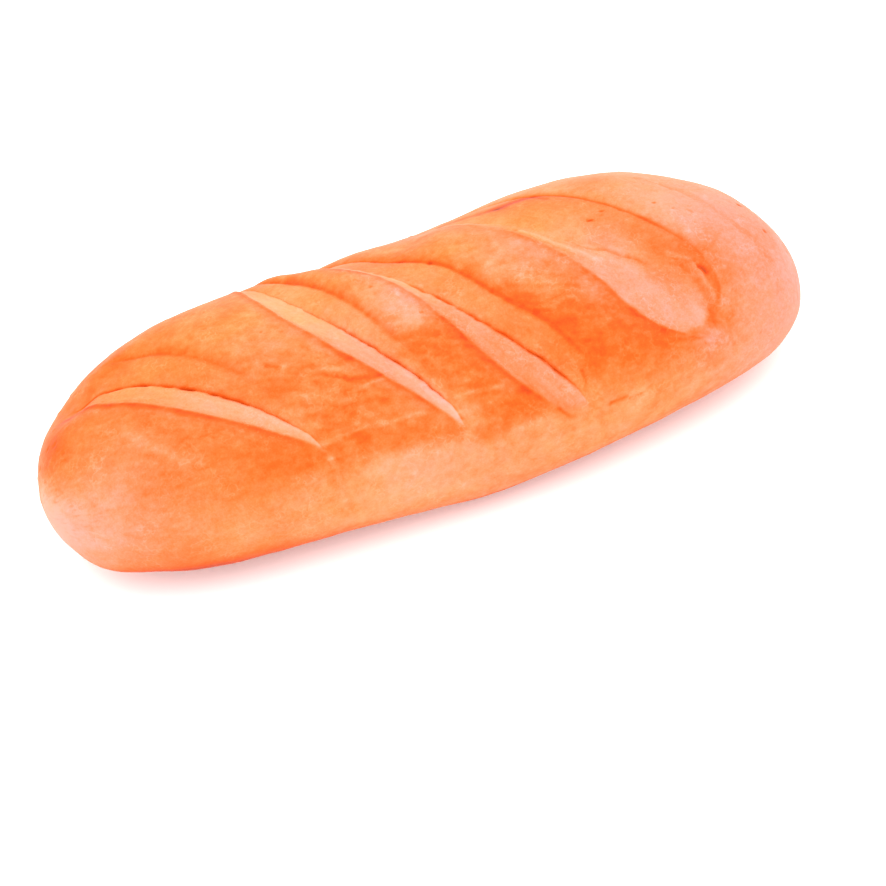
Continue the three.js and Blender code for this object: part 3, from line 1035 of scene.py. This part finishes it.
# %% Loaf piece
def finished_loaf():
    place = skin + outward * fine[:, None]
    place[:, 2] = np.maximum(0, place[:, 2])
    solid_low, solid_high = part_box("loaf")
    middle = (place.min(axis=0) + place.max(axis=0)) / 2
    place[:, :2] += np.array((solid_low + solid_high) / 2)[:2] / MM - middle[:2]
    for vert, spot in zip(loaf_mesh.verts, place):
        vert.co = Vector(spot) * MM
    bmesh.ops.recalc_face_normals(loaf_mesh, faces=loaf_mesh.faces)
    for face in loaf_mesh.faces:
        face.smooth = True
    mesh = bpy.data.meshes.new("baked_loaf")
    loaf_mesh.to_mesh(mesh)
    for name, values in (("bake", bake), ("golden_tint_and_painted_light", golden_tint_and_painted_light)):
        attribute = mesh.attributes.new(name, "FLOAT", "POINT")
        attribute.data.foreach_set("value", values.astype(np.float32))
    loaf = bpy.data.objects.new("baked_loaf", mesh)
    bpy.context.scene.collection.objects.link(loaf)
    return loaf


baked_loaf = finished_loaf()
loaf_mesh.free()
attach(baked_loaf, "root")
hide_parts("loaf")
print("the loaf has", sum(len(face.vertices) - 2 for face in baked_loaf.data.polygons), "triangles")

# %% [markdown]
# The crust
#
# The material is one colour ramp from pale dough to the red of a crack, which is painted shade. It is read
# at the browning attribute plus a fine noise, the grain of the crust; that attribute also carries painted
# shade and painted highlight. The skin also flakes in patches, which shows as thin pale lines. Golden crust,
# and crust in painted warm light, has less blue, so the ramp is multiplied by a golden tint there. A painted
# image would do as well, but noise stays sharp however close the camera comes.

# %% Helpers for the nodes
GRAIN_ROUGHNESS = 0.65


def add_node(tree, kind, **values):
    node = tree.nodes.new(kind)
    for name, value in values.items():
        if name in node.inputs:
            node.inputs[name].default_value = value
        else:
            setattr(node, name, value)
    return node


def attribute(tree, name):
    return add_node(tree, "ShaderNodeAttribute", attribute_name=name).outputs["Fac"]


def calculated(tree, operation, first, second):
    node = tree.nodes.new("ShaderNodeMath")
    node.operation = operation
    for socket, value in zip(node.inputs, (first, second)):
        if isinstance(value, bpy.types.NodeSocket):
            tree.links.new(value, socket)
        else:
            socket.default_value = value
    return node.outputs[0]


def grain(tree, size, detail):
    """Noise around zero with grains of that size, in millimetres."""
    place = tree.nodes.new("ShaderNodeTexCoord")
    pattern = add_node(tree, "ShaderNodeTexNoise", Scale=1 / (size * MM), Detail=detail)
    pattern.inputs["Roughness"].default_value = GRAIN_ROUGHNESS
    tree.links.new(place.outputs["Object"], pattern.inputs["Vector"])
    return calculated(tree, "SUBTRACT", pattern.outputs["Fac"], 0.5)


def ranged(tree, value, low, high):
    """The value's share of the way from low to high."""
    node = tree.nodes.new("ShaderNodeMapRange")
    node.inputs["From Min"].default_value = low
    node.inputs["From Max"].default_value = high
    tree.links.new(value, node.inputs["Value"])
    return node.outputs["Result"]


print("the helpers are ready")

# %% Colours of the browning
CRUST_COLOURS = [  # browning, and the colour of the crust there
    (-0.3, (0.6, 0.267, 0.26)),
    (0.0, (0.6, 0.225, 0.185)),
    (0.25, (0.6, 0.188, 0.125)),
    (0.5, (0.6, 0.146, 0.069)),
    (0.75, (0.6, 0.112, 0.034)),
    (1.0, (0.58, 0.083, 0.0115)),
    # Browning of 1.5 and more also serves as painted shade in the cracks and as painted contact shadow.
    (1.5, (0.47, 0.045, 0.004)),
    (2.2, (0.17, 0.038, 0.01)),
]
RAMP_START = CRUST_COLOURS[0][0]
RAMP_END = CRUST_COLOURS[-1][0]


def browning_ramp(tree, browning):
    ramp = tree.nodes.new("ShaderNodeValToRGB")
    spots = [((level - RAMP_START) / (RAMP_END - RAMP_START), colour) for level, colour in CRUST_COLOURS]
    elements = ramp.color_ramp.elements
    elements[0].position, elements[0].color = spots[0][0], (*spots[0][1], 1)
    elements[1].position, elements[1].color = spots[-1][0], (*spots[-1][1], 1)
    for spot, colour in spots[1:-1]:
        elements.new(spot).color = (*colour, 1)
    spread = calculated(tree, "SUBTRACT", browning, RAMP_START)
    tree.links.new(calculated(tree, "DIVIDE", spread, RAMP_END - RAMP_START), ramp.inputs["Fac"])
    return ramp.outputs["Color"]


print("the browning has", len(CRUST_COLOURS), "colours")

# %% Crust material
GOLDEN_TINT = (1, 1, 0.45, 1)
CRUST_ROUGHNESS = 0.5
CRUST_IOR = 1.35
CRUST_SPECULAR = 0.15
COLOUR_GRAINS = ((1.6, 4, 0.65), (0.6, 2, 0.38))  # size in millimetres, detail and strength
FLAKE_SIZE = 5  # how far apart the pale lines of the flakes are
FLAKE_WIDTH = 0.035  # how far from zero the noise still makes a line
FLAKE_PATCH = 12  # the size of the patches that they come in
FLAKE_PATCH_LEVEL = 0.12  # the patches' noise where the lines are full
FLAKE_BAKE = -0.22
BUMP_GRAIN = 1.1
BUMP_HEIGHT = 0.1 * MM
MIX_SHARE = 0  # sockets of a Mix node that mixes colours
MIX_FIRST = 6
MIX_SECOND = 7
MIX_RESULT = 2


def pale_lines(tree):
    """1 on the lines where noise passes through zero, and 0 away from them or outside the patches."""
    away = calculated(tree, "ABSOLUTE", grain(tree, FLAKE_SIZE, detail=2), 0)
    lines = ranged(tree, away, FLAKE_WIDTH, 0)
    patches = ranged(tree, grain(tree, FLAKE_PATCH, detail=1), 0, FLAKE_PATCH_LEVEL)
    return calculated(tree, "MULTIPLY", lines, patches)


def crust_material():
    material = bpy.data.materials.new("browned_crust")
    material.use_nodes = True
    tree = material.node_tree
    shader = tree.nodes["Principled BSDF"]
    shader.inputs["Roughness"].default_value = CRUST_ROUGHNESS
    shader.inputs["IOR"].default_value = CRUST_IOR
    shader.inputs["Specular IOR Level"].default_value = CRUST_SPECULAR

    browning = attribute(tree, "bake")
    for size, detail, strength in COLOUR_GRAINS:
        uneven = calculated(tree, "MULTIPLY", grain(tree, size, detail), strength)
        browning = calculated(tree, "ADD", browning, uneven)
    flakes = calculated(tree, "MULTIPLY", pale_lines(tree), FLAKE_BAKE)
    browning = calculated(tree, "ADD", browning, flakes)
    tinted = add_node(tree, "ShaderNodeMix", data_type="RGBA", blend_type="MULTIPLY")
    tree.links.new(attribute(tree, "golden_tint_and_painted_light"), tinted.inputs[MIX_SHARE])
    tree.links.new(browning_ramp(tree, browning), tinted.inputs[MIX_FIRST])
    tinted.inputs[MIX_SECOND].default_value = GOLDEN_TINT
    tree.links.new(tinted.outputs[MIX_RESULT], shader.inputs["Base Color"])

    bump = add_node(tree, "ShaderNodeBump", Distance=BUMP_HEIGHT)
    tree.links.new(grain(tree, BUMP_GRAIN, detail=3), bump.inputs["Height"])
    tree.links.new(bump.outputs["Normal"], shader.inputs["Normal"])
    return material


baked_loaf.data.materials.append(crust_material())
print("the crust has", len(COLOUR_GRAINS), "sizes of grain")

# %% [markdown]
# Floor and light
#
# The photograph has hardly any shadow: white ground, white surround and light from everywhere. Many lamps
# would do it, but a white world lights all sides evenly by itself. One wide softbox overhead makes the crown
# a little brighter than the sides. The floor glows faintly, like a light table, which keeps the shadow pale.

# %% Floor
FLOOR_SIZE = 8  # metres
FLOOR_COLOUR = (0.92, 0.92, 0.92, 1)
FLOOR_ROUGHNESS = 0.9
FLOOR_GLOW = 0.1
WHITE = (1, 1, 1, 1)


def add_floor():
    floor_mesh = bmesh.new()
    bmesh.ops.create_grid(floor_mesh, x_segments=1, y_segments=1, size=FLOOR_SIZE / 2)
    mesh = bpy.data.meshes.new("studio_floor")
    floor_mesh.to_mesh(mesh)
    floor_mesh.free()
    floor = bpy.data.objects.new("studio_floor", mesh)
    bpy.context.scene.collection.objects.link(floor)
    material = bpy.data.materials.new("pale_floor")
    material.use_nodes = True
    shader = material.node_tree.nodes["Principled BSDF"]
    shader.inputs["Base Color"].default_value = FLOOR_COLOUR
    shader.inputs["Roughness"].default_value = FLOOR_ROUGHNESS
    shader.inputs["Emission Color"].default_value = WHITE
    shader.inputs["Emission Strength"].default_value = FLOOR_GLOW
    mesh.materials.append(material)
    return floor


floor = add_floor()
print("the floor is", FLOOR_SIZE, "m wide")

# %% Light
SURROUND_STRENGTH = 1.78
BOX_LIGHTS = [  # name, place and width in metres, and power in watts
    ("overhead_softbox", (0, -0.1, 1.6), 2, 17.4),
]


def add_light(name, place, width, power):
    data = bpy.data.lights.new(name, "AREA")
    data.shape = "SQUARE"
    data.size = width
    data.energy = power
    light = bpy.data.objects.new(name, data)
    light.location = place
    light.rotation_mode = "QUATERNION"
    light.rotation_quaternion = (LOAF_MIDDLE - Vector(place)).to_track_quat("-Z", "Y")
    bpy.context.scene.collection.objects.link(light)


def add_surround():
    world = bpy.data.worlds.new("white_surround")
    world.use_nodes = True
    background = world.node_tree.nodes["Background"]
    background.inputs["Color"].default_value = WHITE
    background.inputs["Strength"].default_value = SURROUND_STRENGTH
    bpy.context.scene.world = world


add_surround()
for name, place, width, power in BOX_LIGHTS:
    add_light(name, place, width, power)
bpy.context.scene.view_settings.view_transform = "Standard"  # no film look over the colours
print("the scene has", len(BOX_LIGHTS), "softbox")
